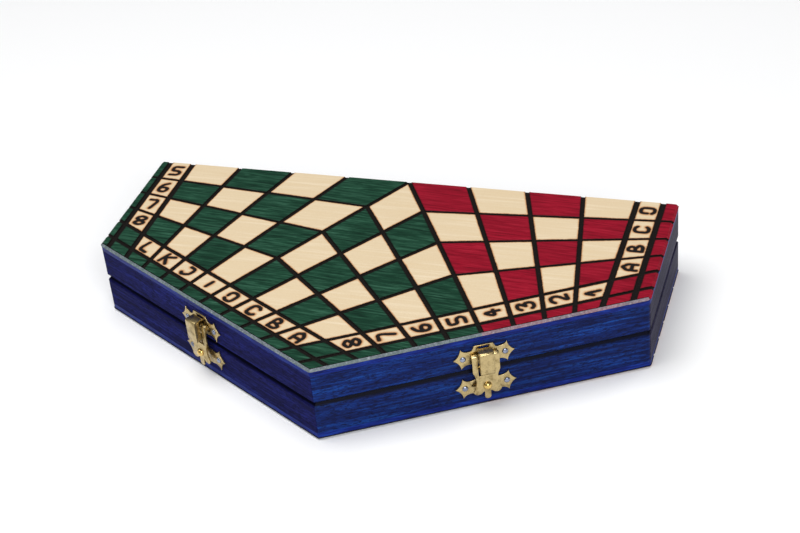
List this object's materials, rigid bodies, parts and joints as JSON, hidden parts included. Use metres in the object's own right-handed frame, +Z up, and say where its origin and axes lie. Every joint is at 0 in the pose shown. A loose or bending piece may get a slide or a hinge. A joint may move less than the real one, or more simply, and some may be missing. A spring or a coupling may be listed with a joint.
{
  "type": "folding chess board box",
  "caption": "Closed folding game box, half a hexagon in plan: hinged wooden trays carry a burnt and stained hexagonal chess board on the outside and are held shut by brass draw latches.",
  "frame": {"origin": "under the middle of the closed box's bounding box, on the plane that it stands on", "axes": "+X along the fold edge, -Y towards the corner between the two latch walls, +Z up"},
  "size_m": [0.284, 0.1652, 0.0415],
  "materials": {
    "board_wood": "stained and lacquered birch plywood with burnt lines",
    "blue_wood": "blue stained and lacquered wood",
    "brass": "stamped brass, satin",
    "steel_nails": "round-headed steel nails"
  },
  "bodies": {
    "lower_half": {"left_hinge_lower_leaf": "brass", "left_hinge_lower_nails": "brass", "left_hinge_pin": "brass", "left_latch_base_nails": "steel_nails", "left_latch_base_plate": "brass", "left_latch_lever_pin": "brass", "lower_board": "board_wood", "lower_wall_back": "blue_wood", "lower_wall_front_left": "blue_wood", "lower_wall_front_right": "blue_wood", "lower_wall_left": "blue_wood", "lower_wall_right": "blue_wood", "right_hinge_lower_leaf": "brass", "right_hinge_lower_nails": "brass", "right_hinge_pin": "brass", "right_latch_base_nails": "steel_nails", "right_latch_base_plate": "brass", "right_latch_lever_pin": "brass"},
    "upper_half": {"left_hinge_upper_leaf": "brass", "left_hinge_upper_nails": "brass", "left_latch_strike_nails": "steel_nails", "left_latch_strike_plate": "brass", "right_hinge_upper_leaf": "brass", "right_hinge_upper_nails": "brass", "right_latch_strike_nails": "steel_nails", "right_latch_strike_plate": "brass", "upper_board": "board_wood", "upper_wall_back": "blue_wood", "upper_wall_front_left": "blue_wood", "upper_wall_front_right": "blue_wood", "upper_wall_left": "blue_wood", "upper_wall_right": "blue_wood"},
    "left_lever": {"left_latch_lever": "brass", "left_latch_strap_pin": "brass"},
    "left_strap": {"left_latch_strap": "brass"},
    "right_lever": {"right_latch_lever": "brass", "right_latch_strap_pin": "brass"},
    "right_strap": {"right_latch_strap": "brass"}
  },
  "joints": [
    {"name": "board_fold", "type": "hinge", "parent": "lower_half", "child": "upper_half", "pos_m": [0, 0.08138, 0.02075], "axis": [-1, 0, 0], "range_deg": [0, 180]},
    {"name": "left_latch_lever", "type": "hinge", "parent": "lower_half", "child": "left_lever", "pos_m": [-0.07219, -0.0438, 0.03055], "axis": [-0.866, 0.5, 0], "range_deg": [0, 95]},
    {"name": "left_latch_strap", "type": "hinge", "parent": "left_lever", "child": "left_strap", "pos_m": [-0.07239, -0.04415, 0.02495], "axis": [-0.866, 0.5, 0], "range_deg": [-105, 0]},
    {"name": "right_latch_lever", "type": "hinge", "parent": "lower_half", "child": "right_lever", "pos_m": [0.07219, -0.0438, 0.03055], "axis": [-0.866, -0.5, 0], "range_deg": [0, 95]},
    {"name": "right_latch_strap", "type": "hinge", "parent": "right_lever", "child": "right_strap", "pos_m": [0.07239, -0.04415, 0.02495], "axis": [-0.866, -0.5, 0], "range_deg": [-105, 0]}
  ],
  "couplings": [
    {"joint": "left_latch_strap", "follows": "left_latch_lever", "ratio": -1.1},
    {"joint": "right_latch_strap", "follows": "right_latch_lever", "ratio": -1.1}
  ]
}
